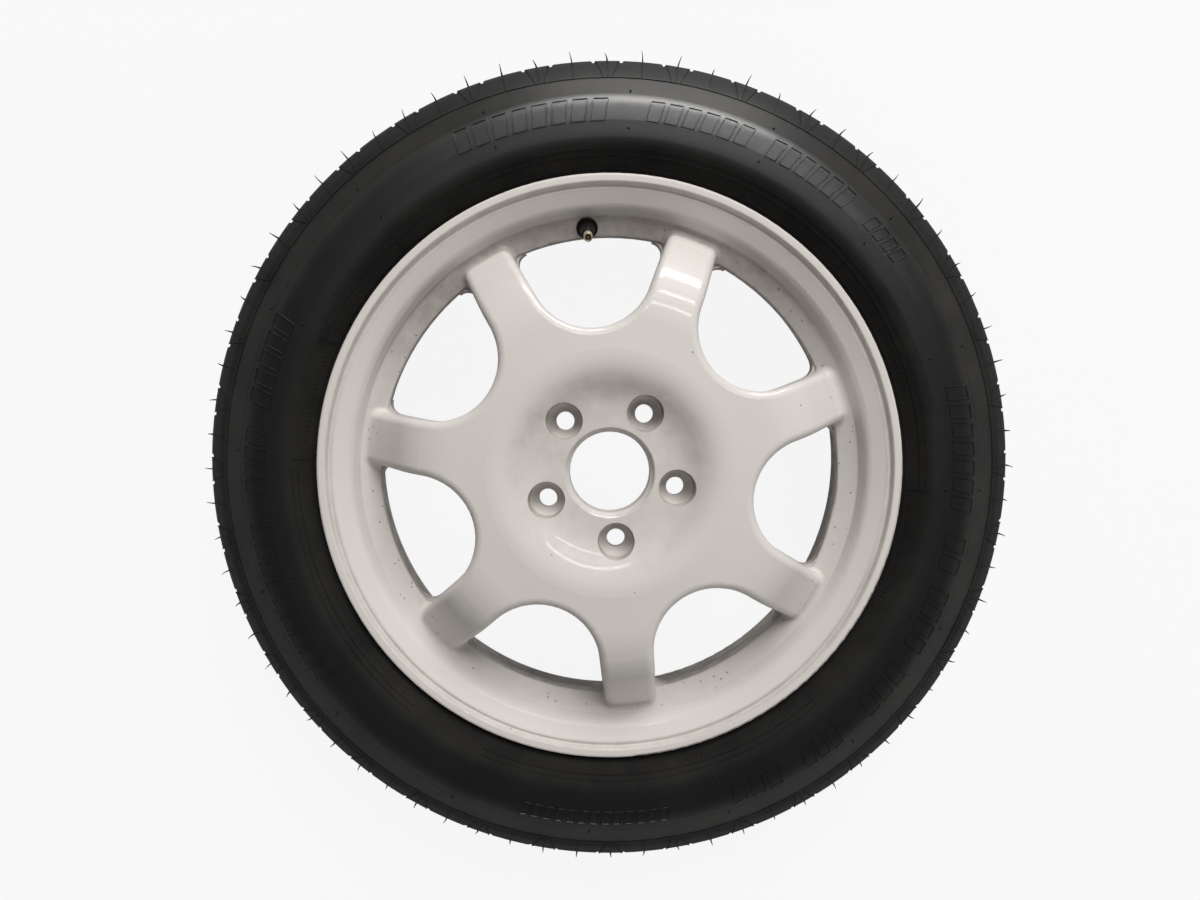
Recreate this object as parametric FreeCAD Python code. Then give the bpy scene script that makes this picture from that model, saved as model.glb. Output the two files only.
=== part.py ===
import FreeCAD, Part
import math
import os

# Spare wheel, lying on its inboard sidewall with the painted face up.
# Frame in millimetres: Z is the wheel axis and points outboard, the origin is the centre of the
# hub mounting face, and the valve stands on the +Y side. X = 0 is the mirror plane.

V = FreeCAD.Vector

# Rim
rim_width = 114.3          # between the two bead faces
rim_offset = 69.0          # mounting face ahead of the rim's middle plane
bead_seat_r = 231.0        # 18 inch bead seat, at the bead face
bead_seat_width = 19.8
bead_seat_taper = 5.0      # degrees
bead_heel_r = 6.0
flange_height = 17.3
flange_reach = 12.0        # bead face to lip
flange_roll_r = 9.5
lip_width = 7.3
lip_edge_r = 2.4
hump_height = 1.1
well_depth = 19.5          # below the bead seat
well_wall = 6.0
band_wall = 8.5            # under the outboard bead seat
strip_lip = 4.0            # strip's inner edge, inward of the barrel

# Disc and spokes
spoke_count = 7
spoke_width = 45.0
window_inner_r = 117.0     # nearest point of each window to the axle
spoke_edge_r = 7.0
spoke_root_r = 5.0
window_corner_r = 10.0     # where a spoke's side meets the rim's strip
dish_floor_r = 60.0
dish_floor_z = 26.0
dome_peak_r = 86.0
dish_round_r = 45.0
dome_peak_z = 40.5
first_bend = (142.0, 36.0)
second_bend = (168.0, 25.5)
spoke_thickness = 22.0
hub_pad_r = 77.0

# Hub
bolt_count = 5
bolt_circle = 112.0
bolt_hole_d = 15.3
bolt_seat_r = 14.0
bolt_recess_d = 30.0
bolt_recess_depth = 7.0
centre_bore_d = 66.6
cap_recess_d = 71.6
cap_recess_depth = 4.0

# Tyre
tyre_outer_r = 364.5
tyre_half_width = 75.2
tyre_wall = 8.0
bead_clearance = 0.3       # tyre bead to rim, all along the seat and flange
bead_leave = 22.0          # degrees, slope at which the tyre leaves the flange's roll
tread_wall = 14.0
tread_half_flat = 20.0
tread_edge_r = 50.0        # round of the tread edge
shoulder_x = 46.5          # where the flat flank starts, from the rim's middle plane
shoulder_drop = 24.0       # the same point, below the tread
groove_width = 6.0
groove_depth = 5.0
groove_pitch = 15.0
tread_pitches = 36
slot_width = 5.0
slot_depth = 5.5
slot_length = 26.0
slot_slant = 8.0           # degrees from the wheel axis
slot_spread = 12.5         # middle of a pitch to each slot, along the tread
slot_lean = 25.0           # degrees, where on the round of the tread edge

# Valve, along its own axis: zero on the rim's strip, plus toward the tip
valve_hole_d = 11.5
valve_rim_wall = 4.5
valve_base_r = 9.5
valve_base_length = 6.5
valve_collar_r = 7.4
valve_rubber_end = 24.0
valve_tip = 32.0
sleeve_thread_r = 3.85
sleeve_shank_r = 3.3
sleeve_mouth_r = 2.65
sleeve_bore_r = 2.05
core_seat = 21.0
core_seat_length = 1.5
core_barrel_r = 1.8
core_barrel_wall = 0.35
core_barrel_end = 16.0
core_ledge = 1.2
pin_r = 0.55
pin_clearance = 0.25
pin_recess = 1.0           # pin head below the mouth of the sleeve
spring_wire_r = 0.16
spring_length = 5.1
plunger_r = 1.75
spring_turns = 6

lip_half = rim_width / 2 + flange_reach
bead_face = rim_width / 2
flange_r = bead_seat_r + flange_height
well_r = bead_seat_r - well_depth
seat_drop = bead_seat_width * math.tan(math.radians(bead_seat_taper))
seat_end = bead_face - bead_seat_width
barrel_r = well_r - well_wall
strip_inner = (barrel_r - strip_lip, seat_end + 1.5)
strip_outer = (strip_inner[0] + 16.0, seat_end + 9.7)


def rounded_face(corners):
    """Closed face in the XZ half plane from (radius, height, corner radius) corners."""
    n = len(corners)
    points = [V(c[0], 0, c[1]) for c in corners]
    joins = []
    for i in range(n):
        p = points[i]
        a = (points[i - 1] - p).normalize()
        b = (points[(i + 1) % n] - p).normalize()
        radius = corners[i][2]
        if radius == 0:
            joins.append((p, None, p))
            continue
        half = a.getAngle(b) / 2
        reach = radius / math.tan(half)
        centre = p + (a + b).normalize() * (radius / math.sin(half))
        crown = centre + (p - centre).normalize() * radius
        joins.append((p + a * reach, crown, p + b * reach))
    edges = []
    for i in range(n):
        start, crown, end = joins[i]
        if crown is not None:
            edges.append(Part.Arc(start, crown, end).toShape())
        following = joins[(i + 1) % n][0]
        if (following - end).Length > 1e-6:
            edges.append(Part.LineSegment(end, following).toShape())
    return Part.Face(Part.Wire(edges))


def turned(corners):
    """Solid of revolution about Z."""
    return rounded_face(corners).revolve(V(0, 0, 0), V(0, 0, 1), 360)


def ring_pattern(shape, count, first=0.0):
    """Copies of a shape, evenly spaced about the wheel axis."""
    copies = []
    for i in range(count):
        copy = shape.copy()
        copy.rotate(V(0, 0, 0), V(0, 0, 1), first + 360.0 * i / count)
        copies.append(copy)
    return copies


def on_rim(corners):
    """Corners given from the rim's middle plane, moved to the part's frame."""
    return [(r, x - rim_offset, radius) for r, x, radius in corners]


def valve_axis():
    """Foot and direction of the valve, square to the rim's strip on the +Y side."""
    foot_r = (strip_inner[0] + strip_outer[0]) / 2
    foot_x = (strip_inner[1] + strip_outer[1]) / 2
    along = V(0, strip_outer[0] - strip_inner[0], strip_outer[1] - strip_inner[1]).normalize()
    direction = V(0, -along.z, along.y)
    return V(0, foot_r, foot_x - rim_offset), direction


def on_valve(shape):
    """Place a shape made along Z on the valve axis."""
    foot, direction = valve_axis()
    tilt = math.degrees(math.atan2(-direction.y, direction.z))
    placed = shape.copy()
    placed.rotate(V(0, 0, 0), V(1, 0, 0), tilt)
    placed.translate(foot)
    return placed


def rim_shell():
    """Rim: flanges, bead seats with humps, drop well and the inner strip that carries the spokes."""
    seat_r = bead_seat_r - seat_drop
    hump_r = seat_r + hump_height
    corners = [
        (flange_r, lip_half, lip_edge_r),
        (flange_r, bead_face, flange_roll_r),
        (bead_seat_r, bead_face, bead_heel_r),
        (seat_r, seat_end, 2.0),
        (hump_r, seat_end - 1.8, 1.2),
        (seat_r - 1.0, seat_end - 3.8, 3.0),
        (well_r, seat_end - 7.0, 6.0),
        (well_r, seat_end - 17.0, 14.0),
        (seat_r - 1.0, -seat_end + 5.5, 8.0),
        (hump_r, -seat_end + 1.8, 1.2),
        (seat_r, -seat_end, 2.0),
        (bead_seat_r, -bead_face, bead_heel_r),
        (flange_r, -bead_face, flange_roll_r),
        (flange_r, -lip_half, lip_edge_r),
        (flange_r - lip_width, -lip_half, lip_edge_r),
        (bead_seat_r - band_wall + 2.0, -bead_face + 1.5, 9.0),
        (bead_seat_r - band_wall, -seat_end + 3.0, 14.0),
        (barrel_r, seat_end - 18.5, 14.0),
        (strip_inner[0], strip_inner[1], 2.5),
        (strip_outer[0], strip_outer[1], 3.0),
        (bead_seat_r - band_wall, bead_face + 0.4, 11.0),
        (flange_r - lip_width - 4.4, lip_half - 4.3, 1.6),
        (flange_r - lip_width - 1.8, lip_half - 5.0, 1.0),
        (flange_r - lip_width, lip_half, 1.8),
    ]
    return turned(on_rim(corners))


def window_prism():
    """One window outline, round toward the axle with sides along the spokes, open at the rim."""
    half_pitch = math.pi / spoke_count
    side = spoke_width / 2
    centre_r = (window_inner_r - side) / (1 - math.sin(half_pitch))
    arch_r = centre_r - window_inner_r
    out = V(math.sin(half_pitch), math.cos(half_pitch), 0)
    square = V(math.cos(half_pitch), -math.sin(half_pitch), 0)
    right = V(0, centre_r, 0) + square * arch_r
    far = right + out * (flange_r - centre_r)
    left = V(-right.x, right.y, 0)
    far_left = V(-far.x, far.y, 0)
    edges = [
        Part.Arc(left, V(0, window_inner_r, 0), right).toShape(),
        Part.LineSegment(right, far).toShape(),
        Part.LineSegment(far, far_left).toShape(),
        Part.LineSegment(far_left, left).toShape(),
    ]
    prism = Part.Face(Part.Wire(edges)).extrude(V(0, 0, 2 * rim_width))
    prism.translate(V(0, 0, -rim_width))
    return prism, centre_r, arch_r


def disc_star():
    """Domed disc with a dished hub, cut by the windows into spokes, front edges rounded."""
    root_z = strip_inner[1] - rim_offset
    foot_r = (strip_inner[0] + 3 * strip_outer[0]) / 4
    foot_z = (strip_inner[1] + 3 * strip_outer[1]) / 4 - rim_offset
    corners = [
        (centre_bore_d / 4, dish_floor_z, 0),
        (dish_floor_r, dish_floor_z, dish_round_r),
        (dome_peak_r, dome_peak_z, dish_round_r),
        (first_bend[0], first_bend[1], 90.0),
        (second_bend[0], second_bend[1], 60.0),
        (foot_r, foot_z - 1.0, 0),
        (foot_r, foot_z - 8.0, 0),
        (barrel_r + well_wall / 2, root_z - 8.0, 0),
        (barrel_r + well_wall / 2, root_z - 18.0, 0),
        (strip_inner[0] - 8.0, root_z - 12.0, 8.0),
        (second_bend[0] - 10.0, second_bend[1] - spoke_thickness, 25.0),
        (first_bend[0] - 10.0, first_bend[1] - spoke_thickness, 30.0),
        (hub_pad_r + 14.0, first_bend[1] - spoke_thickness + 1.0, 9.0),
        (hub_pad_r, 0, 3.0),
        (centre_bore_d / 4, 0, 0),
    ]
    dome = turned(corners)
    prism, centre_r, arch_r = window_prism()
    star = dome.cut(ring_pattern(prism, spoke_count))
    rounded = []
    for edge in star.Edges:
        mid = edge.valueAt((edge.FirstParameter + edge.LastParameter) / 2)
        on_front = mid.z > front_height(math.hypot(mid.x, mid.y)) - 3.0
        if on_front and on_window_wall(mid, centre_r, arch_r) and not is_upright(edge):
            rounded.append(edge)
    return star.makeFillet(spoke_edge_r, rounded)


def front_height(r):
    """Height of the disc's front between its bends, straight lines without the bend radii."""
    foot_r = (strip_inner[0] + 3 * strip_outer[0]) / 4
    foot_z = (strip_inner[1] + 3 * strip_outer[1]) / 4 - rim_offset - 1.0
    line = [(dome_peak_r, dome_peak_z), first_bend, second_bend, (foot_r, foot_z)]
    for a, b in zip(line, line[1:]):
        if r <= b[0]:
            return a[1] + (b[1] - a[1]) * (r - a[0]) / (b[0] - a[0]) - 1.0
    return line[-1][1]


def on_window_wall(point, centre_r, arch_r):
    """True for a point on the side wall of a window."""
    pitch = 2 * math.pi / spoke_count
    angle = math.atan2(point.x, point.y)
    angle -= pitch * round(angle / pitch)
    r = math.hypot(point.x, point.y)
    local = V(r * math.sin(angle), r * math.cos(angle), 0)
    if abs((local - V(0, centre_r, 0)).Length - arch_r) < 0.05:
        return True
    beyond = r * math.sin(math.pi / spoke_count - abs(angle))
    return abs(beyond - spoke_width / 2) < 0.05 and r > window_inner_r


def at_spoke_root(edge):
    """True for an edge where a spoke runs into the rim, seen from the front or the side."""
    mid = edge.valueAt((edge.FirstParameter + edge.LastParameter) / 2)
    r = math.hypot(mid.x, mid.y)
    if not strip_inner[0] - 0.1 < r < strip_outer[0] + 1.5:
        return False
    pitch = 2 * math.pi / spoke_count
    angle = math.atan2(mid.x, -mid.y)
    angle -= pitch * round(angle / pitch)
    behind = edge.Curve.TypeId == "Part::GeomCircle" and mid.z < strip_inner[1] - rim_offset - 8.0
    return abs(angle) * r < spoke_width / 2 + 0.4 and not behind


def is_upright(edge):
    """True for an edge that runs along the wheel axis."""
    a = edge.Vertexes[0].Point
    b = edge.Vertexes[-1].Point
    return math.hypot(a.x - b.x, a.y - b.y) < 0.01 and abs(a.z - b.z) > 0.01


def window_corners():
    """Webs that round the outer corners of the windows, just behind the strip's inner edge."""
    rim_r = strip_inner[0]
    side = spoke_width / 2
    across = side + window_corner_r
    along = math.sqrt((rim_r - window_corner_r) ** 2 - across ** 2)
    centre = V(across, -along, 0)
    on_side = V(side, -along, 0)
    on_strip = centre * (rim_r / (rim_r - window_corner_r))
    crown = centre + ((on_side - centre) + (on_strip - centre)).normalize() * window_corner_r
    in_rim = centre * ((rim_r + 2.5) / (rim_r - window_corner_r))
    in_spoke = V(side - 3.0, -rim_r, 0)
    back = V(side - 3.0, -along, 0)
    edges = [
        Part.Arc(on_side, crown, on_strip).toShape(),
        Part.LineSegment(on_strip, in_rim).toShape(),
        Part.LineSegment(in_rim, in_spoke).toShape(),
        Part.LineSegment(in_spoke, back).toShape(),
        Part.LineSegment(back, on_side).toShape(),
    ]
    web = Part.Face(Part.Wire(edges)).extrude(V(0, 0, 9.0))
    web.translate(V(0, 0, strip_inner[1] - rim_offset - 10.5))
    other = web.mirror(V(0, 0, 0), V(1, 0, 0))
    return ring_pattern(web, spoke_count) + ring_pattern(other, spoke_count)


def bolt_cutter():
    """Bolt hole: recess, ball seat and clear hole."""
    seat_z = dish_floor_z - bolt_recess_depth
    ball_z = seat_z + 1.5
    hole_r = bolt_hole_d / 2
    recess = Part.makeCone(bolt_recess_d / 2 - 0.6, bolt_recess_d / 2, bolt_recess_depth, V(0, 0, seat_z))
    mouth = Part.makeCylinder(bolt_recess_d / 2, dome_peak_z - dish_floor_z + 5, V(0, 0, dish_floor_z))
    ball = Part.makeSphere(bolt_seat_r, V(0, 0, ball_z))
    below = Part.makeCylinder(bolt_seat_r + 1, bolt_seat_r + 2, V(0, 0, seat_z - bolt_seat_r - 2))
    hole = Part.makeCylinder(hole_r, dish_floor_z + 2, V(0, 0, -1))
    cutter = recess.fuse([mouth, ball.common(below), hole])
    cutter.translate(V(0, -bolt_circle / 2, 0))
    return cutter


def alloy_wheel():
    """One casting: rim, spokes and hub."""
    wheel = rim_shell().fuse(disc_star())
    wheel = wheel.makeFillet(spoke_root_r, [edge for edge in wheel.Edges if at_spoke_root(edge)])
    wheel = wheel.fuse(window_corners())
    bore_r = centre_bore_d / 2
    cap_r = cap_recess_d / 2
    cap_z = dish_floor_z - cap_recess_depth
    bore = turned([
        (0, -1, 0),
        (bore_r + 2.2, -1, 0),
        (bore_r, 1.2, 0),
        (bore_r, cap_z - (cap_r - bore_r), 0),
        (cap_r, cap_z, 0),
        (cap_r, dish_floor_z - 1.2, 0),
        (cap_r + 2.2, dish_floor_z + 1, 0),
        (0, dish_floor_z + 1, 0),
    ])
    valve_hole = Part.makeCylinder(valve_hole_d / 2, 60, V(0, 0, -40))
    valve_pocket = Part.makeCylinder(valve_base_r + 3, 40, V(0, 0, -40 - valve_rim_wall))
    cutters = [bore, on_valve(valve_hole), on_valve(valve_pocket)]
    wheel = wheel.cut(cutters + ring_pattern(bolt_cutter(), bolt_count))
    return wheel.removeSplitter()


def tyre():
    """Hollow tyre: beads seated on the rim, rounded sidewalls, narrow grooved tread."""
    seat_r = bead_seat_r - seat_drop
    bead_x = bead_face - bead_clearance
    bead_r = bead_seat_r + bead_clearance
    toe_x = seat_end + 1.5
    toe_r = bead_r - (bead_x - toe_x) * math.tan(math.radians(bead_seat_taper))
    leave = math.radians(bead_leave)
    roll_r = flange_roll_r + bead_clearance
    roll_corner = flange_r - flange_roll_r + roll_r * math.tan(leave / 2)
    wall_foot = flange_r + 2.5
    outside = [
        (toe_r, toe_x, 0),
        (bead_r, bead_x, bead_heel_r),
        (roll_corner, bead_x, roll_r),
        (wall_foot, bead_x + (wall_foot - roll_corner) * math.tan(leave), 14.0),
        (flange_r + 21.0, tyre_half_width, 18.0),
        (flange_r + 54.0, tyre_half_width, 40.0),
        (tyre_outer_r - shoulder_drop, shoulder_x, 40.0),
        (tyre_outer_r, tread_half_flat, tread_edge_r),
    ]
    inside = [
        (tyre_outer_r - tread_wall, tread_half_flat - 4.0, 45.0),
        (tyre_outer_r - shoulder_drop - 10.0, shoulder_x - tyre_wall, 35.0),
        (flange_r + 51.0, tyre_half_width - tyre_wall, 36.0),
        (flange_r + 24.0, tyre_half_width - tyre_wall, 16.0),
        (flange_r + 4.0, bead_face - 6.0, 12.0),
        (seat_r + 14.0, bead_face - 10.0, 8.0),
        (toe_r + 2.5, toe_x, 0),
    ]
    loop = outside + [(r, -x, c) for r, x, c in reversed(outside)]
    loop += [(r, -x, c) for r, x, c in reversed(inside)] + inside
    carcass = turned(on_rim(loop))
    grooves = []
    for i in (-1, 0, 1):
        low = i * groove_pitch - groove_width / 2 - rim_offset
        floor_r = tyre_outer_r - groove_depth
        grooves.append(turned([
            (floor_r, low, 0.8),
            (tyre_outer_r + 5, low - 1.0, 0),
            (tyre_outer_r + 5, low + groove_width + 1.0, 0),
            (floor_r, low + groove_width, 0.8),
        ]))
    return carcass.cut(grooves + tread_slots())


def tread_slots():
    """Slanted slots at both tread edges, in pairs that open toward the sidewall."""
    slot = Part.makeBox(slot_width, 2 * slot_depth, slot_length, V(-slot_width / 2, -slot_depth, -slot_length / 2))
    turn = math.atan2(shoulder_drop, shoulder_x - tread_half_flat)
    lean = math.radians(slot_lean)
    middle_x = tread_half_flat + tread_edge_r * (math.sin(lean) - math.tan(turn / 2))
    middle_r = tyre_outer_r - tread_edge_r * (1 - math.cos(lean))
    spread = math.degrees(slot_spread / tyre_outer_r)
    half_pitch = 180.0 / tread_pitches
    slots = []
    for side in (-1, 1):
        for hand in (-1, 1):
            cutter = slot.copy()
            cutter.rotate(V(0, 0, 0), V(0, 1, 0), side * hand * slot_slant)
            cutter.rotate(V(0, 0, 0), V(1, 0, 0), side * slot_lean)
            cutter.translate(V(0, middle_r, side * middle_x - rim_offset))
            slots += ring_pattern(cutter, tread_pitches, half_pitch + hand * spread)
    return slots


def valve_rubber_stem():
    """Snap-in rubber stem: base in the tyre, neck in the rim hole, collar and tapered stem."""
    neck_r = valve_hole_d / 2
    base_z = -valve_rim_wall - valve_base_length
    body = turned([
        (sleeve_shank_r, base_z, 0),
        (valve_base_r - 1.0, base_z, 1.0),
        (valve_base_r, -valve_rim_wall, 0),
        (neck_r, -valve_rim_wall, 0),
        (neck_r, 0, 0),
        (valve_collar_r, 0, 0.6),
        (neck_r + 0.4, 6.0, 4.0),
        (neck_r - 0.6, valve_rubber_end, 0.8),
        (sleeve_shank_r, valve_rubber_end, 0),
    ])
    return on_valve(body)


def valve_brass_sleeve():
    """Brass sleeve: shank in the rubber, thread crest at the tip, stepped bore for the core."""
    base_z = -valve_rim_wall - valve_base_length
    body = turned([
        (sleeve_bore_r, base_z, 0),
        (sleeve_shank_r, base_z, 0),
        (sleeve_shank_r, valve_rubber_end, 0),
        (sleeve_thread_r, valve_rubber_end, 0.3),
        (sleeve_thread_r, valve_tip, 0.5),
        (sleeve_mouth_r, valve_tip, 0.3),
        (sleeve_mouth_r, core_seat + core_seat_length, 0),
        (sleeve_bore_r, core_seat, 0),
    ])
    return on_valve(body)


def core_plug():
    """Threaded plug with a bridge slot for the core tool."""
    low = core_seat + core_seat_length + 1.0
    high = valve_tip - 1.8
    body = turned([
        (pin_r + pin_clearance, low, 0),
        (sleeve_mouth_r, low, 0),
        (sleeve_mouth_r, high - 2.2, 0),
        (sleeve_mouth_r - 0.7, high - 1.6, 0),
        (sleeve_mouth_r - 0.7, high, 0),
        (pin_r + pin_clearance, high, 0),
    ])
    flat = Part.makeBox(6, 2, 1.6, V(-3, 1.2, high - 1.6))
    body = body.cut([flat, flat.mirror(V(0, 0, 0), V(0, 1, 0))])
    return on_valve(body)


def core_barrel():
    """Thin tube that hangs from the plug and ends in the seat for the plunger."""
    top = core_seat + core_seat_length + 1.0
    ledge_top = core_barrel_end + core_ledge
    body = turned([
        (pin_r + pin_clearance, core_barrel_end, 0),
        (core_barrel_r, core_barrel_end, 0),
        (core_barrel_r, top, 0),
        (core_barrel_r - core_barrel_wall, top, 0),
        (core_barrel_r - core_barrel_wall, ledge_top, 0),
        (pin_r + pin_clearance, ledge_top, 0),
    ])
    return on_valve(body)


def core_gasket():
    """Tapered ring that seals the barrel in the sleeve."""
    top = core_seat + core_seat_length
    body = turned([
        (core_barrel_r, core_seat, 0),
        (sleeve_bore_r, core_seat, 0),
        (sleeve_mouth_r, top, 0),
        (sleeve_mouth_r, top + 1.0, 0),
        (core_barrel_r, top + 1.0, 0),
    ])
    return on_valve(body)


def spring_foot():
    return core_barrel_end + core_ledge


def core_pin():
    """Pin with a collar that the spring lifts."""
    collar_low = spring_foot() + spring_length
    collar_r = core_barrel_r - core_barrel_wall - pin_clearance
    low = core_barrel_end - 3.4
    body = turned([
        (0, low, 0),
        (pin_r, low, 0),
        (pin_r, collar_low, 0),
        (collar_r, collar_low, 0),
        (collar_r, collar_low + 0.6, 0),
        (pin_r, collar_low + 0.6, 0),
        (pin_r, valve_tip - pin_recess, 0.2),
        (0, valve_tip - pin_recess, 0),
    ])
    return on_valve(body)


def plunger_cup():
    """Cup crimped on the inner end of the pin."""
    low = core_barrel_end - 2.6
    body = turned([
        (pin_r, low, 0),
        (plunger_r, low, 0.3),
        (plunger_r, core_barrel_end - 0.3, 0),
        (plunger_r - 0.3, core_barrel_end - 0.3, 0),
        (plunger_r - 0.3, low + 1.2, 0),
        (pin_r, low + 1.2, 0),
    ])
    return on_valve(body)


def plunger_seal():
    """Soft washer in the cup, closed against the barrel."""
    body = turned([
        (pin_r, core_barrel_end - 1.4, 0),
        (plunger_r - 0.3, core_barrel_end - 1.4, 0),
        (plunger_r - 0.3, core_barrel_end, 0),
        (pin_r, core_barrel_end, 0),
    ])
    return on_valve(body)


def core_spring():
    """Coil spring in the barrel, between its ledge and the collar of the pin."""
    coil_r = core_barrel_r - core_barrel_wall - pin_clearance - spring_wire_r
    rise = spring_length - 2 * spring_wire_r
    path = Part.makeHelix(rise / spring_turns, rise, coil_r)
    ring = Part.makeCircle(spring_wire_r, V(coil_r, 0, 0), V(0, 1, 0))
    coil = Part.Wire(path).makePipeShell([Part.Wire(ring)], True, True)
    coil.translate(V(0, 0, spring_foot() + spring_wire_r))
    return on_valve(coil)


makers = [
    alloy_wheel, tyre, valve_rubber_stem, valve_brass_sleeve, core_plug, core_barrel,
    core_gasket, core_pin, plunger_cup, plunger_seal, core_spring,
]
os.makedirs("parts", exist_ok=True)
for maker in makers:
    shape = maker()
    shape.exportStep("parts/" + maker.__name__ + ".step")
    box = shape.BoundBox
    print(maker.__name__, shape.ShapeType, len(shape.Solids), shape.isValid(), round(shape.Volume / 1000.0, 3),
          [round(v, 1) for v in (box.XMin, box.YMin, box.ZMin, box.XMax, box.YMax, box.ZMax)])
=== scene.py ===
import math
import bmesh
import bpy
import numpy as np
from mathutils import Matrix, Vector
from mathutils.bvhtree import BVHTree


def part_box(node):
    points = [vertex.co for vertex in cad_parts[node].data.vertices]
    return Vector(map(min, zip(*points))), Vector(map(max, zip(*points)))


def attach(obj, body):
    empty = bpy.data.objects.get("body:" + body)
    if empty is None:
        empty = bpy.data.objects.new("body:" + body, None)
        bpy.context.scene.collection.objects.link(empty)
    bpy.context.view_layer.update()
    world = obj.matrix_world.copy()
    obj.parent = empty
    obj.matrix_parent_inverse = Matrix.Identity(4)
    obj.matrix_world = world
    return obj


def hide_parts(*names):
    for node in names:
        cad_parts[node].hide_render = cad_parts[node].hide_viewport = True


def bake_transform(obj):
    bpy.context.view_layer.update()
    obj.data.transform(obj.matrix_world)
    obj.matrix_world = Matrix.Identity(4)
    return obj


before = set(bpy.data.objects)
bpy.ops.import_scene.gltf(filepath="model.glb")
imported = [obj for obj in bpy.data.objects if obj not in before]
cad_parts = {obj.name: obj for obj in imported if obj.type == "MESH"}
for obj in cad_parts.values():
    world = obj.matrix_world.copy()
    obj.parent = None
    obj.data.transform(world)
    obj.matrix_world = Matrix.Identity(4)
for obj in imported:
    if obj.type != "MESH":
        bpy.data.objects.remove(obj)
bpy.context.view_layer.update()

# Alloy wheel
# One low-pressure casting, rim and spoked disc together, turned on its bead seats and painted
# light warm grey. Road and brake dust has settled in the lip groove and the bolt recesses and lies on the
# spoke strip; the paint is darker inside the barrel, and painted shade darkens the strip towards the valve
# side and rings the edge of each bolt seat.

bolt_count = 5
bolt_circle_r = 0.056
# Zones of the wheel: from, to, and the soft edge outside both, in metres.
lip_groove_r, outboard_z = (0.2365, 0.2405, 0.0022), (-0.014, 1.0, 0.004)
strip_r, strip_z = (0.2005, 0.2175, 0.002), (-0.034, -0.021, 0.002)
crease_r, crease_z = (0.1975, 0.2005, 0.0014), (-0.019, 0.02, 0.003)
recess_r, recess_z = (0.0, 0.0152, 0.0012), (-0.01, 0.0275, 0.0006)
seat_edge_r, seat_edge_z = (0.0141, 0.0149, 0.0007), (0.015, 0.0275, 0.0006)
rust_r, rust_z = (0.199, 0.214, 0.004), (-0.034, 0.0, 0.002)
barrel_z = (-1.0, -0.033, 0.003)
dish_r = (0.0, 0.074, 0.016)
valve_side_y = (0.17, 1.0, 0.09)
upper_side_y = (0.035, 1.0, 0.05)
paint_grey = (0.63, 0.60, 0.578, 1)
dust_and_shade_brown = (0.17, 0.135, 0.10, 1)
rust_brown = (0.07, 0.04, 0.022, 1)
speck_brown = (0.05, 0.04, 0.03, 1)


def add(tree, kind, inputs=None, **settings):
    """One node with its settings; inputs are fixed values or sockets to link."""
    made = tree.nodes.new(kind)
    for key, value in settings.items():
        setattr(made, key, value)
    for key, value in (inputs or {}).items():
        if isinstance(value, bpy.types.NodeSocket):
            tree.links.new(value, made.inputs[key])
        else:
            made.inputs[key].default_value = value
    return made


def calc(tree, operation, *values):
    """Result of a math node on numbers or sockets."""
    return add(tree, "ShaderNodeMath", dict(enumerate(values)), operation=operation).outputs[0]


def between(tree, value, low, high, soft):
    """1 inside low to high, falling to 0 over soft on both sides."""
    rise = add(tree, "ShaderNodeMapRange", {0: value, 1: low - soft, 2: low},
               interpolation_type="SMOOTHSTEP")
    fall = add(tree, "ShaderNodeMapRange", {0: value, 1: high, 2: high + soft, 3: 1.0, 4: 0.0},
               interpolation_type="SMOOTHSTEP")
    return calc(tree, "MULTIPLY", rise.outputs[0], fall.outputs[0])


def zone(tree, value, limits, other_value, other_limits):
    """1 where both values lie inside their limits."""
    return calc(tree, "MULTIPLY", between(tree, value, *limits), between(tree, other_value, *other_limits))


def mixed(tree, share, first, second):
    """Colour between two colours."""
    return add(tree, "ShaderNodeMix", {0: share, 6: first, 7: second}, data_type="RGBA").outputs[2]


def new_material(name):
    """Empty node material; returns the material and its tree."""
    made = bpy.data.materials.new(name)
    made.use_nodes = True
    made.node_tree.nodes.clear()
    return made, made.node_tree


def surface(tree, inputs):
    """Principled skin and the output of a material."""
    skin = add(tree, "ShaderNodeBsdfPrincipled", inputs)
    add(tree, "ShaderNodeOutputMaterial", {0: skin.outputs[0]})


def wheel_place(tree):
    """Object coordinates, their three axes and the distance from the axle."""
    place = add(tree, "ShaderNodeTexCoord").outputs["Object"]
    axes = add(tree, "ShaderNodeSeparateXYZ", {0: place}).outputs
    flat = add(tree, "ShaderNodeCombineXYZ", {0: axes[0], 1: axes[1]})
    gap = add(tree, "ShaderNodeVectorMath", {0: flat.outputs[0]}, operation="LENGTH")
    return place, axes, gap.outputs["Value"]


def group_tree(name, inputs, outputs):
    """Shader node group with named sockets."""
    tree = bpy.data.node_groups.new(name, "ShaderNodeTree")
    for label, kind, value in inputs:
        socket = tree.interface.new_socket(label, in_out="INPUT", socket_type=kind)
        if value is not None:
            socket.default_value = value
    for label, kind in outputs:
        tree.interface.new_socket(label, in_out="OUTPUT", socket_type=kind)
    return tree, add(tree, "NodeGroupInput").outputs, add(tree, "NodeGroupOutput").inputs


def dress(node_name, material):
    """Gives a node of the frame its one material."""
    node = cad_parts[node_name]
    node.data.materials.clear()
    node.data.materials.append(material)
    return node


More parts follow.
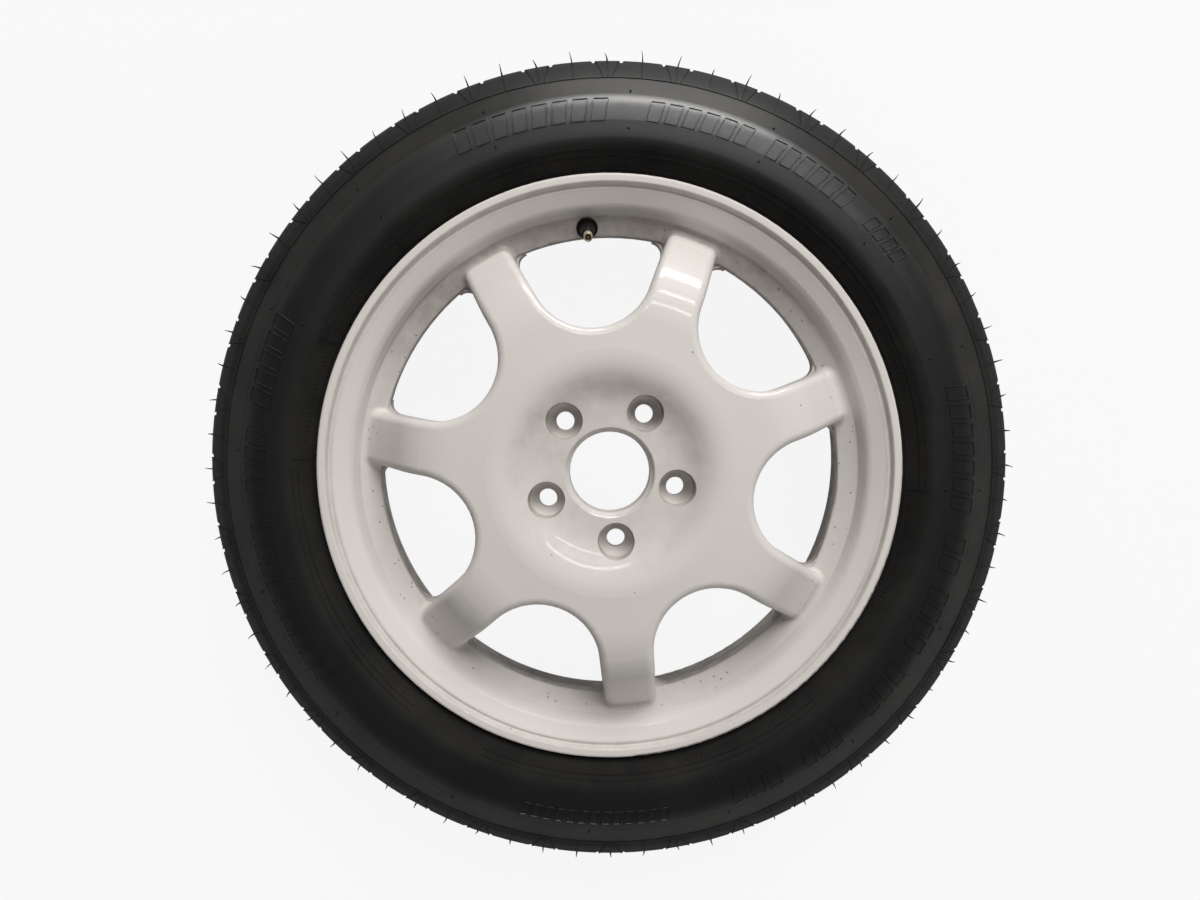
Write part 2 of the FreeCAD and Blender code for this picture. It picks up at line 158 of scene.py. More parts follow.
dust_and_painted_light, patch_in, patch_out = group_tree(
    "dust_and_painted_light",
    [("Vector", "NodeSocketVector", None), ("Color", "NodeSocketColor", None),
     ("Mark Color", "NodeSocketColor", None), ("Amount", "NodeSocketFloat", 0.5),
     ("Scale", "NodeSocketFloat", 60.0)],
    [("Color", "NodeSocketColor"), ("Mask", "NodeSocketFloat")])
patches = add(dust_and_painted_light, "ShaderNodeTexNoise",
              {"Vector": patch_in["Vector"], "Scale": patch_in["Scale"], "Detail": 6.0, "Roughness": 0.65})
uneven = add(dust_and_painted_light, "ShaderNodeMapRange", {0: patches.outputs[0], 1: 0.32, 2: 0.68})
spread = calc(dust_and_painted_light, "MULTIPLY_ADD", uneven.outputs[0], 0.75, 0.25)
covered = calc(dust_and_painted_light, "MULTIPLY", spread, patch_in["Amount"])
marked = mixed(dust_and_painted_light, covered, patch_in["Color"], patch_in["Mark Color"])
dust_and_painted_light.links.new(marked, patch_out["Color"])
dust_and_painted_light.links.new(covered, patch_out["Mask"])

specks, speck_in, speck_out = group_tree(
    "specks",
    [("Vector", "NodeSocketVector", None), ("Scale", "NodeSocketFloat", 120.0),
     ("Size", "NodeSocketFloat", 0.12), ("Share", "NodeSocketFloat", 0.1)],
    [("Mask", "NodeSocketFloat")])
cells = add(specks, "ShaderNodeTexVoronoi", {"Vector": speck_in["Vector"], "Scale": speck_in["Scale"]})
near = calc(specks, "LESS_THAN", cells.outputs["Distance"], speck_in["Size"])
chance = add(specks, "ShaderNodeSeparateColor", {0: cells.outputs["Color"]})
chosen = calc(specks, "LESS_THAN", chance.outputs[0], speck_in["Share"])
specks.links.new(calc(specks, "MULTIPLY", near, chosen), speck_out["Mask"])

wheel_paint, paint = new_material("wheel_paint")
place, axes, axle_gap = wheel_place(paint)
height = axes[2]
# Distance from the nearest bolt hole; the first hole is opposite the valve.
turn = calc(paint, "ARCTAN2", axes[0], calc(paint, "MULTIPLY", axes[1], -1.0))
bolt_turn = calc(paint, "PINGPONG", turn, math.pi / bolt_count)
bolt_x = calc(paint, "MULTIPLY", axle_gap, calc(paint, "SINE", bolt_turn))
bolt_y = calc(paint, "SUBTRACT", calc(paint, "MULTIPLY", axle_gap, calc(paint, "COSINE", bolt_turn)),
              bolt_circle_r)
bolt_gap = calc(paint, "SQRT", calc(paint, "ADD", calc(paint, "MULTIPLY", bolt_x, bolt_x),
                                    calc(paint, "MULTIPLY", bolt_y, bolt_y)))
valve_side = between(paint, axes[1], *valve_side_y)
upper_side = between(paint, axes[1], *upper_side_y)
# Dust on the spoke strip, with painted shade added towards the valve side, where the strip lies in shade.
strip_dust_and_shade = calc(paint, "MULTIPLY", zone(paint, axle_gap, strip_r, height, strip_z),
                  calc(paint, "MULTIPLY_ADD", valve_side, 0.38, 0.11))
dish_dirt = calc(paint, "MULTIPLY", between(paint, axle_gap, *dish_r),
                 calc(paint, "MULTIPLY_ADD", upper_side, 0.12, 0.15))
# Strongest of the marks: dust in the groove, recesses and dish, the darker barrel, and painted shade on the
# upper strip and round the bolt seats.
dirt_and_painted_shade = 0.0
for mask, share in ((zone(paint, axle_gap, lip_groove_r, height, outboard_z), 0.22),
                    (strip_dust_and_shade, 1.0),
                    (zone(paint, bolt_gap, recess_r, height, recess_z), 0.12),
                    # The paint is made darker all over inside the barrel, below the strip.
                    (between(paint, height, *barrel_z), 0.7),
                    (dish_dirt, 1.0),
                    (zone(paint, axle_gap, crease_r, height, crease_z), 0.05),
                    # A thin dark ring round the edge of each bolt seat is painted shade.
                    (zone(paint, bolt_gap, seat_edge_r, height, seat_edge_z), 0.6)):
    dirt_and_painted_shade = calc(paint, "MAXIMUM", dirt_and_painted_shade, calc(paint, "MULTIPLY", mask, share))
dust_and_shade_on_paint = add(paint, "ShaderNodeGroup",
                    {"Vector": place, "Amount": dirt_and_painted_shade, "Scale": 70.0, "Color": paint_grey,
                     "Mark Color": dust_and_shade_brown}, node_tree=dust_and_painted_light)
specks_on_paint = add(paint, "ShaderNodeGroup",
                      {"Vector": place, "Scale": 95.0, "Size": 0.07, "Share": 0.045}, node_tree=specks)
rust_on_paint = add(paint, "ShaderNodeGroup",
                    {"Vector": place, "Scale": 330.0, "Size": 0.3, "Share": 0.055}, node_tree=specks)
rust_mask = calc(paint, "MULTIPLY", rust_on_paint.outputs["Mask"],
                 zone(paint, axle_gap, rust_r, height, rust_z))
rusted = mixed(paint, calc(paint, "MULTIPLY", rust_mask, 0.6), dust_and_shade_on_paint.outputs["Color"], rust_brown)
spotted = mixed(paint, calc(paint, "MULTIPLY", specks_on_paint.outputs["Mask"], 0.75), rusted, speck_brown)
orange_peel = add(paint, "ShaderNodeTexNoise", {"Vector": place, "Scale": 420.0, "Detail": 2.0})
peel_bump = add(paint, "ShaderNodeBump",
                {"Height": orange_peel.outputs[0], "Strength": 0.05, "Distance": 0.001})
paint_dullness = calc(paint, "MULTIPLY_ADD", dust_and_shade_on_paint.outputs["Mask"], 0.3, 0.48)
surface(paint, {"Base Color": spotted, "Roughness": paint_dullness, "Normal": peel_bump.outputs[0],
                "Specular IOR Level": 0.22, "Coat Weight": 0.3, "Coat Roughness": 0.08, "IOR": 1.5})
dress("alloy_wheel", wheel_paint)

# Tyre
# One moulded piece of black rubber on a diagonal carcass, its beads seated on the rim.
# The rubber has weathered dull, with a thin film of dust on the sidewall and a lighter band of painted sheen
# round the flank.

# Zones of the sidewall by radius: from, to, and the soft edge outside both, in metres.
bead_zone_r = (0.0, 0.264, 0.022)
sheen_band_r = (0.312, 0.328, 0.018)
outer_zone_r = (0.314, 1.0, 0.010)
shoulder_zone_r = (0.336, 1.0, 0.008)
rubber_black = (0.0034, 0.0033, 0.0033, 1)
rubber_dust_and_sheen = (0.040, 0.0385, 0.0365, 1)

tyre_rubber, rubber = new_material("tyre_rubber")
place, axes, axle_gap = wheel_place(rubber)
bead_zone = between(rubber, axle_gap, *bead_zone_r)
# A lighter band round the flank is painted sheen; the thin film everywhere and the band by the bead are
# dust.
dust_and_sheen_film = calc(rubber, "MULTIPLY_ADD", between(rubber, axle_gap, *sheen_band_r), 0.42, 0.08)
dust_and_sheen_film = calc(rubber, "MULTIPLY_ADD", bead_zone, 0.3, dust_and_sheen_film)
dust_and_sheen_on_rubber = add(rubber, "ShaderNodeGroup",
                     {"Vector": place, "Amount": dust_and_sheen_film, "Scale": 14.0, "Color": rubber_black,
                      "Mark Color": rubber_dust_and_sheen}, node_tree=dust_and_painted_light)
skin_noise = add(rubber, "ShaderNodeTexNoise", {"Vector": place, "Scale": 900.0, "Detail": 3.0})
skin_bump = add(rubber, "ShaderNodeBump",
                {"Height": skin_noise.outputs[0], "Strength": 0.12, "Distance": 0.001})
dullness = calc(rubber, "MULTIPLY_ADD", bead_zone, 0.32, 0.39)
dullness = calc(rubber, "MULTIPLY_ADD", between(rubber, axle_gap, *shoulder_zone_r), 0.2, dullness)
shine = calc(rubber, "MULTIPLY_ADD", bead_zone, -0.5, 0.66)
shine = calc(rubber, "MULTIPLY_ADD", between(rubber, axle_gap, *outer_zone_r), -0.56, shine)
surface(rubber, {"Base Color": dust_and_sheen_on_rubber.outputs["Color"], "Roughness": dullness,
                 "Normal": skin_bump.outputs[0], "Specular IOR Level": shine})
carcass = dress("tyre", tyre_rubber)

# Rings on the tyre
# The mould leaves thin raised rings: one beside the rim, the tread's edge line, and pairs of
# rails near the bead with short bars across them. They are one moulding with the sidewall.

skin = BVHTree.FromPolygons([v.co for v in carcass.data.vertices],
                            [f.vertices for f in carcass.data.polygons])
side_r = np.arange(0.2490, 0.3610, 0.0005)
clear_turn = 0.02                  # radians, clear of the slots of the tread
clear_way = Vector((math.sin(clear_turn), math.cos(clear_turn), 0))
above, down = Vector((0, 0, 0.1)), Vector((0, 0, -1))
side_z = np.array([skin.ray_cast(clear_way * r + above, down)[0].z for r in side_r])
side_slope = np.gradient(side_z, side_r)
ridge_root = 0.0004                # depth of a ridge's foot under the sidewall
ridge_crown = 0.22                 # half of the flat crown, as a share of the width


def on_sidewall(r, angle, lift):
    """Point above the sidewall at a radius and an angle clockwise from the valve."""
    slope = float(np.interp(r, side_r, side_slope))
    out = 1 / math.hypot(1, slope)
    r_up = r - slope * out * lift
    z_up = float(np.interp(r, side_r, side_z)) + out * lift
    return (r_up * math.sin(angle), r_up * math.cos(angle), z_up)


def raised_line(path, width, height, closed=False):
    """Vertices and faces of a thin ridge that follows (radius, angle) points on the sidewall."""
    section = ((-0.5, -ridge_root), (-ridge_crown, height), (ridge_crown, height), (0.5, -ridge_root))
    verts, faces = [], []
    n = len(path)
    for i, (r, a) in enumerate(path):
        before = path[i - 1] if i or closed else path[0]
        after = path[(i + 1) % n] if i < n - 1 or closed else path[-1]
        along_r = after[0] - before[0]
        along_a = (math.remainder(after[1] - before[1], 2 * math.pi)) * r
        run = math.hypot(along_r, along_a)
        across_r, across_a = -along_a / run, along_r / run
        for offset, lift in section:
            verts.append(on_sidewall(r + across_r * width * offset, a + across_a * width * offset / r, lift))
    for i in range(n if closed else n - 1):
        j = (i + 1) % n
        for k in range(4):
            m = (k + 1) % 4
            faces.append((4 * i + k, 4 * i + m, 4 * j + m, 4 * j + k))
    if not closed:
        faces.append((3, 2, 1, 0))
        faces.append((4 * n - 4, 4 * n - 3, 4 * n - 2, 4 * n - 1))
    return verts, faces


def lines_mesh(name, lines):
    """One mesh from several (vertices, faces) pairs, faces turned outward."""
    verts, faces = [], []
    for line_verts, line_faces in lines:
        start = len(verts)
        verts += line_verts
        faces += [tuple(start + k for k in face) for face in line_faces]
    mesh = bpy.data.meshes.new(name)
    mesh.from_pydata(verts, [], faces)
    shell = bmesh.new()
    shell.from_mesh(mesh)
    bmesh.ops.recalc_face_normals(shell, faces=shell.faces)
    shell.to_mesh(mesh)
    shell.free()
    return mesh


def moulded(name, lines, material):
    """Object made of raised lines or other shells in one material."""
    made = bpy.data.objects.new(name, lines_mesh(name, lines))
    made.data.materials.append(material)
    bpy.context.collection.objects.link(made)
    return made


def arc(r, start, end, step=1.0):
    """Points along a ring, angles in degrees clockwise from the valve."""
    count = max(2, int(abs(end - start) / step) + 1)
    return [(r, math.radians(start + (end - start) * i / (count - 1))) for i in range(count)]


rim_ring_r, edge_ring_r = 0.2532, 0.3320
rail_radii = (0.2625, 0.2668)
rail_spans = ((-61.2, 98.8), (143.8, 209.8), (224.8, 275.8))
cross_bars = (-60.2, -37.5, -14.5, 8.4, 31.2, 53.7, 98.9, 143.8, 277.4, 300.2)
bar_foot_r, bar_step, bar_points = 0.2545, 0.002, 7

ring_lines = [raised_line(arc(rim_ring_r, 0, 359), 0.0011, 0.0005, closed=True),
              raised_line(arc(edge_ring_r, 0, 359), 0.0016, 0.0006, closed=True)]
for start, end in rail_spans:
    for r in rail_radii:
        ring_lines.append(raised_line(arc(r, start, end), 0.0012, 0.0006))
for at in cross_bars:
    bar = [(bar_foot_r + bar_step * k, math.radians(at)) for k in range(bar_points)]
    ring_lines.append(raised_line(bar, 0.0011, 0.0005))
tyre_rings = moulded("tyre_rings", ring_lines, tyre_rubber)
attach(tyre_rings, "wheel")

# Bead ticks on the tyre
# Short raised ticks of the tyre's own rubber, evenly spaced beside the edge of the rim,
# half a millimetre high and one moulding with the sidewall.

tick_foot_r, tick_step, tick_points = 0.2496, 0.0012, 4
tick_count, tick_first = 32, 1.2


def pattern_tree(name, sizes):
    """Geometry Nodes tree with named size inputs; returns it, its sockets and their outputs."""
    tree = bpy.data.node_groups.new(name, "GeometryNodeTree")
    tree.interface.new_socket("Geometry", in_out="INPUT", socket_type="NodeSocketGeometry")
    sockets = {label: tree.interface.new_socket(label, in_out="INPUT", socket_type=kind)
               for label, kind in sizes.items()}
    tree.interface.new_socket("Geometry", in_out="OUTPUT", socket_type="NodeSocketGeometry")
    return tree, sockets, add(tree, "NodeGroupInput").outputs


def end_tree(tree, geometry, material):
    """Real geometry in one material, as the tree's result."""
    real = add(tree, "GeometryNodeRealizeInstances", {0: geometry})
    coated = add(tree, "GeometryNodeSetMaterial", {0: real.outputs[0], "Material": material})
    add(tree, "NodeGroupOutput", {0: coated.outputs[0]})


def patterned(name, template, tree, sockets, sizes):
    """Object whose plain mesh is the tree's result on a template mesh."""
    made = bpy.data.objects.new(name, template)
    bpy.context.collection.objects.link(made)
    pattern = made.modifiers.new("pattern", "NODES")
    pattern.node_group = tree
    for label, value in sizes.items():
        pattern[sockets[label].identifier] = value
    bpy.context.view_layer.update()
    shown = made.evaluated_get(bpy.context.evaluated_depsgraph_get())
    mesh = bpy.data.meshes.new_from_object(shown)
    made.modifiers.remove(pattern)
    made.data = mesh
    mesh.name = name
    return made


def turned_copies(name, template, count, first, material):
    """Copies of a mesh in place at the valve's angle, turned about the axle; first is in degrees."""
    tree, sockets, given = pattern_tree(name, {"Copies": "NodeSocketInt", "First Angle": "NodeSocketFloat"})
    step = calc(tree, "DIVIDE", 2 * math.pi, given["Copies"])
    index = add(tree, "GeometryNodeInputIndex").outputs[0]
    angle = calc(tree, "ADD", calc(tree, "MULTIPLY", index, step), given["First Angle"])
    spin = add(tree, "ShaderNodeCombineXYZ", {2: calc(tree, "MULTIPLY", angle, -1.0)})
    points = add(tree, "GeometryNodePoints", {"Count": given["Copies"]})
    copies = add(tree, "GeometryNodeInstanceOnPoints",
                 {"Points": points.outputs[0], "Instance": given["Geometry"], "Rotation": spin.outputs[0]})
    end_tree(tree, copies.outputs[0], material)
    return patterned(name, template, tree, sockets, {"Copies": count, "First Angle": math.radians(first)})


tick_path = [(tick_foot_r + tick_step * k, 0.0) for k in range(tick_points)]
tick = lines_mesh("bead_tick", [raised_line(tick_path, 0.0010, 0.0005)])
bead_ticks = turned_copies("bead_ticks", tick, tick_count, tick_first, tyre_rubber)
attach(bead_ticks, "wheel")

# Shoulder lines on the tyre
# Raised lines across the shoulder where the mould is vented: a spreading pair with one between,
# and a single line half a pitch on, once for each pitch of the tread.

tread_pitches = 36
half_pitch = 180.0 / tread_pitches
line_foot_r, line_run, single_run = 0.3328, 0.0237, 0.0252
line_steps = 8
line_feet_and_ends = ((-0.0036, -0.0104), (0.0036, 0.0104), (0.0, 0.0))   # sideways, along the ring

pitch = []
for near_edge, far_edge in line_feet_and_ends:
    path = []
    for k in range(line_steps + 1):
        r = line_foot_r + line_run * k / line_steps
        path.append((r, (near_edge + (far_edge - near_edge) * k / line_steps) / r))
    pitch.append(raised_line(path, 0.0013, 0.0007))
single = [(line_foot_r + single_run * k / line_steps, math.radians(half_pitch))
          for k in range(line_steps + 1)]
pitch.append(raised_line(single, 0.0011, 0.0007))
shoulder_lines = turned_copies("shoulder_lines", lines_mesh("shoulder_pitch", pitch), tread_pitches,
                               half_pitch, tyre_rubber)
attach(shoulder_lines, "wheel")

# Bead marks on the tyre
# Rows of small plain bars between the rim and the rails, raised less than half a millimetre,
# moulded with the sidewall.

mark_spans = ((-58.0, -40.0), (-35.0, -17.0), (11.0, 29.0), (34.0, 51.0), (57.0, 80.0), (102.0, 121.0),
              (147.0, 170.0), (228.0, 252.0), (281.0, 298.0))
mark_spacing = 0.9                 # degrees
mark_foot_r, mark_step, mark_points = 0.2560, 0.0012, 4

small_marks = []
for start, end in mark_spans:
    gaps = round((end - start) / mark_spacing)
    for k in range(gaps + 1):
        at = math.radians(start + (end - start) * k / gaps)
        mark = [(mark_foot_r + mark_step * m, at) for m in range(mark_points)]
        small_marks.append(raised_line(mark, 0.0009, 0.0004))
bead_marks = moulded("bead_marks", small_marks, tyre_rubber)
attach(bead_marks, "wheel")

# Vent stubs on the tyre
# Short blunt stubs on the sidewall where rubber ran into the mould's vents and was trimmed,
# two rings of them, moulded with the sidewall.

stub_rings_r = (0.2825, 0.3160)
stub_profile = ((0.0009, -0.0004), (0.0008, 0.0009), (0.0005, 0.0014))   # radius, lift
stub_sides = 8
stub_count, stub_first = 16, 8.4

stub_verts, stub_faces = [], []
for r in stub_rings_r:
    first = len(stub_verts)
    for radius, lift in stub_profile:
        for k in range(stub_sides):
            way = 2 * math.pi / stub_sides * k
            stub_verts.append(on_sidewall(r + radius * math.cos(way), radius * math.sin(way) / r, lift))
    for ring in range(len(stub_profile) - 1):
        low = first + stub_sides * ring
        high = low + stub_sides
        for k in range(stub_sides):
            m = (k + 1) % stub_sides
            stub_faces.append((low + k, low + m, high + m, high + k))
    top = first + stub_sides * (len(stub_profile) - 1)
    stub_faces += [tuple(first + stub_sides - 1 - k for k in range(stub_sides)),
                   tuple(top + k for k in range(stub_sides))]
stub = lines_mesh("vent_stub", [(stub_verts, stub_faces)])
vent_stubs = turned_copies("vent_stubs", stub, stub_count, stub_first, tyre_rubber)
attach(vent_stubs, "wheel")

# Block bands on the tyre
# Rows of plain slanted blocks in outline, moulded in a band on the sidewall,
# raised by half a millimetre like the rest of the mould's marks.

band_r = (0.2885, 0.3075)
block_bands = (                    # degrees clockwise from the valve, then inner and outer radius
    (-20.2, 5.3, 0.2880, 0.3080), (11.2, 28.6, 0.2890, 0.3070), (31.4, 47.3, 0.2890, 0.3070),
    (50.9, 59.5, 0.2915, 0.3045), (81.2, 102.2, *band_r), (105.7, 112.4, *band_r),
    (114.8, 126.2, *band_r), (129.2, 138.8, *band_r), (143.9, 151.7, *band_r),
    (155.5, 164.9, *band_r), (175.4, 200.3, 0.2930, 0.3050), (239.0, 266.9, *band_r),
    (271.4, 282.2, *band_r), (285.8, 301.1, *band_r))
block_shape = 0.85                 # pitch of the blocks, as a share of the band's width
block_fill = 0.72                  # width of a block, as a share of the pitch
block_slant = 0.2                  # lean of a block, as a share of the pitch
end_steps, side_steps = 4, 5

block_lines = []
for start, end, low, high in block_bands:
    block_pitch = math.degrees((high - low) * block_shape / high)
    blocks = max(1, round((end - start) / block_pitch))
    step = (end - start) / blocks
    lean = step * block_slant
    for k in range(blocks):
        left, right = start + step * k, start + step * (k + block_fill)
        outline = [(low, left + (right - left) * m / end_steps) for m in range(end_steps)]
        outline += [(low + (high - low) * m / side_steps, right + lean * m / side_steps)
                    for m in range(side_steps)]
        outline += [(high, right + lean + (left - right) * m / end_steps) for m in range(end_steps)]
        outline += [(high + (low - high) * m / side_steps, left + lean * (1 - m / side_steps))
                    for m in range(side_steps)]
        path = [(r, math.radians(a)) for r, a in outline]
        block_lines.append(raised_line(path, 0.0014, 0.0006, closed=True))
sidewall_blocks = moulded("sidewall_blocks", block_lines, tyre_rubber)
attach(sidewall_blocks, "wheel")

# Vent hairs on the tyre
# Rubber that flowed into the mould's vents stands out as soft hairs, bent at random,
# at the outer end of the shoulder's vent lines.

hair_count = 72
hair_ring_r = 0.3575
hair_length, hair_root_r = 0.0082, 0.00085
hair_taper, hair_bend = 0.7, 0.0016
hair_rings, hair_sides = 6, 4

hair_verts, hair_faces = [], []
for i in range(hair_rings):
    share = i / (hair_rings - 1)
    thick = hair_root_r * (1 - hair_taper * share)
    for k in range(hair_sides):
        around = 2 * math.pi / hair_sides * k
        hair_verts.append((share * hair_length, thick * math.cos(around) + hair_bend * share * share,
                           thick * math.sin(around)))
for i in range(hair_rings - 1):
    low, high = hair_sides * i, hair_sides * (i + 1)
    for k in range(hair_sides):
        m = (k + 1) % hair_sides
        hair_faces.append((low + k, low + m, high + m, high + k))
hair_faces += [(3, 2, 1, 0), tuple(hair_sides * (hair_rings - 1) + k for k in range(hair_sides))]
hair = bpy.data.meshes.new("vent_hair")
hair.from_pydata(hair_verts, [], hair_faces)
hair_tree, hair_sockets, given = pattern_tree(
    "vent_hairs", {"Hairs": "NodeSocketInt", "Ring Radius": "NodeSocketFloat", "Height": "NodeSocketFloat"})
index = add(hair_tree, "GeometryNodeInputIndex").outputs[0]
angle = calc(hair_tree, "MULTIPLY", index, calc(hair_tree, "DIVIDE", 2 * math.pi, given["Hairs"]))
cosine, sine = calc(hair_tree, "COSINE", angle), calc(hair_tree, "SINE", angle)
root = add(hair_tree, "ShaderNodeCombineXYZ",
           {0: calc(hair_tree, "MULTIPLY", cosine, given["Ring Radius"]),
            1: calc(hair_tree, "MULTIPLY", sine, given["Ring Radius"]), 2: given["Height"]})
roots = add(hair_tree, "GeometryNodePoints", {"Count": given["Hairs"], "Position": root.outputs[0]})
lean = add(hair_tree, "FunctionNodeRandomValue",
           {"Min": (0.0, -0.45, -0.12), "Max": (6.28, 0.05, 0.12), "Seed": 4}, data_type="FLOAT_VECTOR")
facing = add(hair_tree, "ShaderNodeCombineXYZ", {2: angle})
hair_turn = add(hair_tree, "ShaderNodeVectorMath", {0: facing.outputs[0], 1: lean.outputs[0]},
                operation="ADD")
length = add(hair_tree, "FunctionNodeRandomValue", {"Min": 0.6, "Max": 1.2, "Seed": 9}, data_type="FLOAT")
wear = calc(hair_tree, "MULTIPLY_ADD", sine, 0.28, 0.8)      # the valve's side keeps the longer hairs
worn = calc(hair_tree, "MULTIPLY", wear, length.outputs[1])
stretch = add(hair_tree, "ShaderNodeCombineXYZ", {0: worn, 1: 1.0, 2: 1.0})
grown = add(hair_tree, "GeometryNodeInstanceOnPoints",
            {"Points": roots.outputs[0], "Instance": given["Geometry"], "Rotation": hair_turn.outputs[0],
             "Scale": stretch.outputs[0]})
end_tree(hair_tree, grown.outputs[0], tyre_rubber)
vent_hairs = patterned("vent_hairs", hair, hair_tree, hair_sockets,
                       {"Hairs": hair_count, "Ring Radius": hair_ring_r,
                        "Height": float(np.interp(hair_ring_r, side_r, side_z))})
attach(vent_hairs, "wheel")

# Valve
# A snap-in stem of black rubber moulded over a brass sleeve, pulled through the rim from inside.
# The core in the sleeve is a screwed brass plug, coloured dark as painted shade deep in the mouth, and its
# sprung pin shows in the mouth.


def plain_finish(name, inputs):
    """Material of one even colour and sheen."""
    made, tree = new_material(name)
    surface(tree, inputs)
    return made


stem_rubber = plain_finish("stem_rubber", {"Base Color": (0.004, 0.0039, 0.0038, 1), "Roughness": 0.4,
                                           "Specular IOR Level": 0.3})
dull_brass = plain_finish("dull_brass", {"Base Color": (0.66, 0.54, 0.40, 1), "Metallic": 0.55,
                                         "Roughness": 0.34})
seal_rubber = plain_finish("seal_rubber", {"Base Color": (0.10, 0.03, 0.03, 1), "Roughness": 0.6})
# Dark brass for the plug: painted shade deep in the sleeve's mouth.
painted_shade_brass = plain_finish("painted_shade_brass", {"Base Color": (0.10, 0.075, 0.05, 1), "Metallic": 0.4,
                                             "Roughness": 0.5})
spring_steel = plain_finish("spring_steel", {"Base Color": (0.55, 0.55, 0.54, 1), "Metallic": 1.0,
                                             "Roughness": 0.3})
for node_name, finish in (
        ("valve_rubber_stem", stem_rubber), ("valve_brass_sleeve", dull_brass), ("core_plug", painted_shade_brass),
        ("core_barrel", dull_brass), ("core_gasket", seal_rubber), ("core_pin", dull_brass),
        ("plunger_cup", dull_brass), ("plunger_seal", seal_rubber), ("core_spring", spring_steel)):
    dress(node_name, finish)

# Core spring
# A fine coil of spring steel round the pin, between the barrel's ledge and the collar of the pin,
# made at rest; the real spring shortens by the pin's travel when the valve is pressed, which this fixed coil
# does not.

stem_foot = Vector((0.0, 0.2095, -0.02605))
stem_up = Vector((0.0, -0.456, 0.890)).normalized()
spring_low, spring_high = 0.01720, 0.02230         # along the stem, from its foot
wire_r = 0.00016
coil_sizes = {"Turns": 6.0, "Coil Radius": 0.00104, "Length": 0.00478, "Wire Radius": wire_r}

spring_tree, coil_sockets, given = pattern_tree("core_coil", dict.fromkeys(coil_sizes, "NodeSocketFloat"))
spiral = add(spring_tree, "GeometryNodeCurveSpiral",
             {"Resolution": 24, "Rotations": given["Turns"], "Start Radius": given["Coil Radius"],
              "End Radius": given["Coil Radius"], "Height": given["Length"]})
wire = add(spring_tree, "GeometryNodeCurvePrimitiveCircle",
           {"Resolution": 10, "Radius": given["Wire Radius"]})
coil = add(spring_tree, "GeometryNodeCurveToMesh",
           {"Curve": spiral.outputs[0], "Profile Curve": wire.outputs[0], "Fill Caps": True})
end_tree(spring_tree, coil.outputs[0], spring_steel)
coil_seed = bpy.data.meshes.new("core_coil_seed")
core_coil = patterned("core_coil", coil_seed, spring_tree, coil_sockets, coil_sizes)
lay = Vector((0, 0, 1)).rotation_difference(stem_up).to_matrix().to_4x4()
core_coil.data.transform(Matrix.Translation(stem_foot + stem_up * (spring_low + wire_r)) @ lay)
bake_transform(core_coil)
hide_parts("core_spring")

# Stem collar
# The soft flange of the rubber stem, spread flat on the rim round the hole,
# one moulding with the stem.

collar_profile = ((0.0066, -0.0004), (0.0091, -0.0004), (0.0094, 0.0003), (0.0091, 0.0009),
                  (0.0080, 0.0013), (0.0066, 0.0015))      # radius, lift
collar_steps = 40

collar_side = Vector((1.0, 0.0, 0.0))
collar_back = stem_up.cross(collar_side)
collar_verts, collar_faces = [], []
for i in range(collar_steps):
    way = 2 * math.pi * i / collar_steps
    out = collar_side * math.cos(way) + collar_back * math.sin(way)
    collar_verts += [stem_foot + out * r + stem_up * lift for r, lift in collar_profile]
profile_points = len(collar_profile)
for i in range(collar_steps):
    here, there = profile_points * i, profile_points * ((i + 1) % collar_steps)
    for k in range(profile_points):
        m = (k + 1) % profile_points
        collar_faces.append((here + k, here + m, there + m, there + k))
stem_collar = moulded("stem_collar", [(collar_verts, collar_faces)], stem_rubber)
for face in stem_collar.data.polygons:
    face.use_smooth = True
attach(stem_collar, "wheel")

# Floor, light and camera
# A white floor under the wheel. A tall lamp on the valve side and weak ones beside and across light
# it evenly, a low card and two strips give the reflections, and the camera looks down from above.

floor_half = 40.0
floor_gap = 0.0002                 # under the tyre's lowest point
glossy_share = 0.28                # how much of the white floor shows in reflections
white_share = 0.9                  # the rest keeps the wheel's shadow

floor_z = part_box("tyre")[0].z - floor_gap
floor_corners = [(-floor_half, -floor_half, floor_z), (floor_half, -floor_half, floor_z),
                 (floor_half, floor_half, floor_z), (-floor_half, floor_half, floor_z)]
floor_mesh = bpy.data.meshes.new("floor")
floor_mesh.from_pydata(floor_corners, [], [(0, 1, 2, 3)])
floor = bpy.data.objects.new("floor", floor_mesh)
bpy.context.collection.objects.link(floor)
floor_white, floor_tree = new_material("floor_white")
ray = add(floor_tree, "ShaderNodeLightPath").outputs
seen = calc(floor_tree, "MAXIMUM", ray["Is Camera Ray"], ray["Is Transmission Ray"])
seen = calc(floor_tree, "MAXIMUM", seen, calc(floor_tree, "MULTIPLY", ray["Is Glossy Ray"], glossy_share))
matte = add(floor_tree, "ShaderNodeBsdfDiffuse", {0: (0.5, 0.5, 0.5, 1)})
bright = add(floor_tree, "ShaderNodeEmission", {0: (1, 1, 1, 1), 1: 1.0})
both = add(floor_tree, "ShaderNodeMixShader",
           {0: calc(floor_tree, "MULTIPLY", seen, white_share), 1: matte.outputs[0], 2: bright.outputs[0]})
add(floor_tree, "ShaderNodeOutputMaterial", {0: both.outputs[0]})
floor_mesh.materials.append(floor_white)

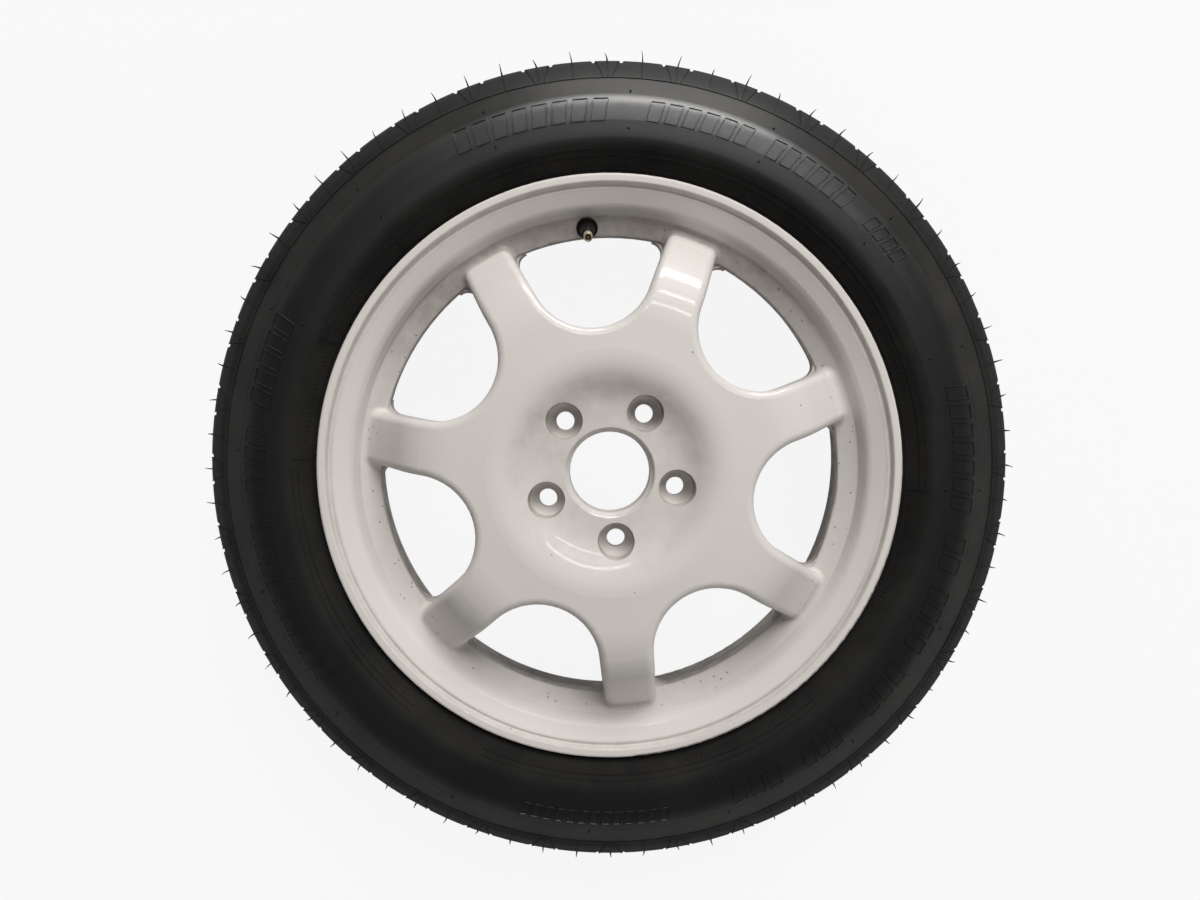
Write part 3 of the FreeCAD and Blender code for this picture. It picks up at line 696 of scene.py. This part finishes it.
world = bpy.data.worlds.new("studio")
bpy.context.scene.world = world
world.use_nodes = True
world.node_tree.nodes.clear()
sky = add(world.node_tree, "ShaderNodeBackground", {0: (1, 0.98, 0.96, 1), 1: 0.115})
add(world.node_tree, "ShaderNodeOutputWorld", {0: sky.outputs[0]})

for name, at, size, power, tint, reflected in (
        ("key", (1.35, 4.25, 3.5), (4.0, 3.4), 390.0, (1, 0.98, 0.955), False),
        ("fill", (4.0, -0.6, 2.8), (2.8, 2.8), 34.0, (1, 0.99, 0.98), False),
        ("back", (0.6, -4.4, 2.2), (4.0, 2.0), 52.0, (1, 0.985, 0.96), False),
        ("low_card", (0.9, 3.4, 0.42), (2.4, 1.1), 150.0, (1, 0.985, 0.97), True),
        ("high_strip", (0.7, 1.7, 2.6), (2.2, 0.16), 20.0, (1, 1, 1), True),
        ("strip", (0.8, 2.2, 2.0), (1.8, 0.16), 19.0, (1, 1, 1), True)):
    lamp = bpy.data.lights.new(name, "AREA")
    lamp.shape = "RECTANGLE"
    lamp.size, lamp.size_y = size
    lamp.energy = power
    lamp.color = tint
    holder = bpy.data.objects.new(name, lamp)
    holder.visible_diffuse = not reflected
    holder.visible_glossy = reflected
    holder.location = at
    holder.rotation_euler = (-Vector(at)).to_track_quat("-Z", "Y").to_euler()
    bpy.context.collection.objects.link(holder)

eye = Vector((-0.0037, 0.0486, 0.6409))
target = Vector((-0.0064, 0.0180, 0.0))
roll = math.radians(5.27)

lens = bpy.data.cameras.new("camera")
lens.sensor_fit = "HORIZONTAL"
lens.sensor_width = 36.0
lens.lens = 22.8
lens.clip_start = 0.01
ahead = (target - eye).normalized()
up = Vector((math.sin(roll), math.cos(roll), 0))
right = ahead.cross(up).normalized()
up = right.cross(ahead)
camera = bpy.data.objects.new("camera", lens)
camera.matrix_world = Matrix.Translation(eye) @ Matrix((right, up, -ahead)).transposed().to_4x4()
bpy.context.collection.objects.link(camera)
bpy.context.scene.camera = camera
bpy.context.scene.view_settings.view_transform = "Standard"
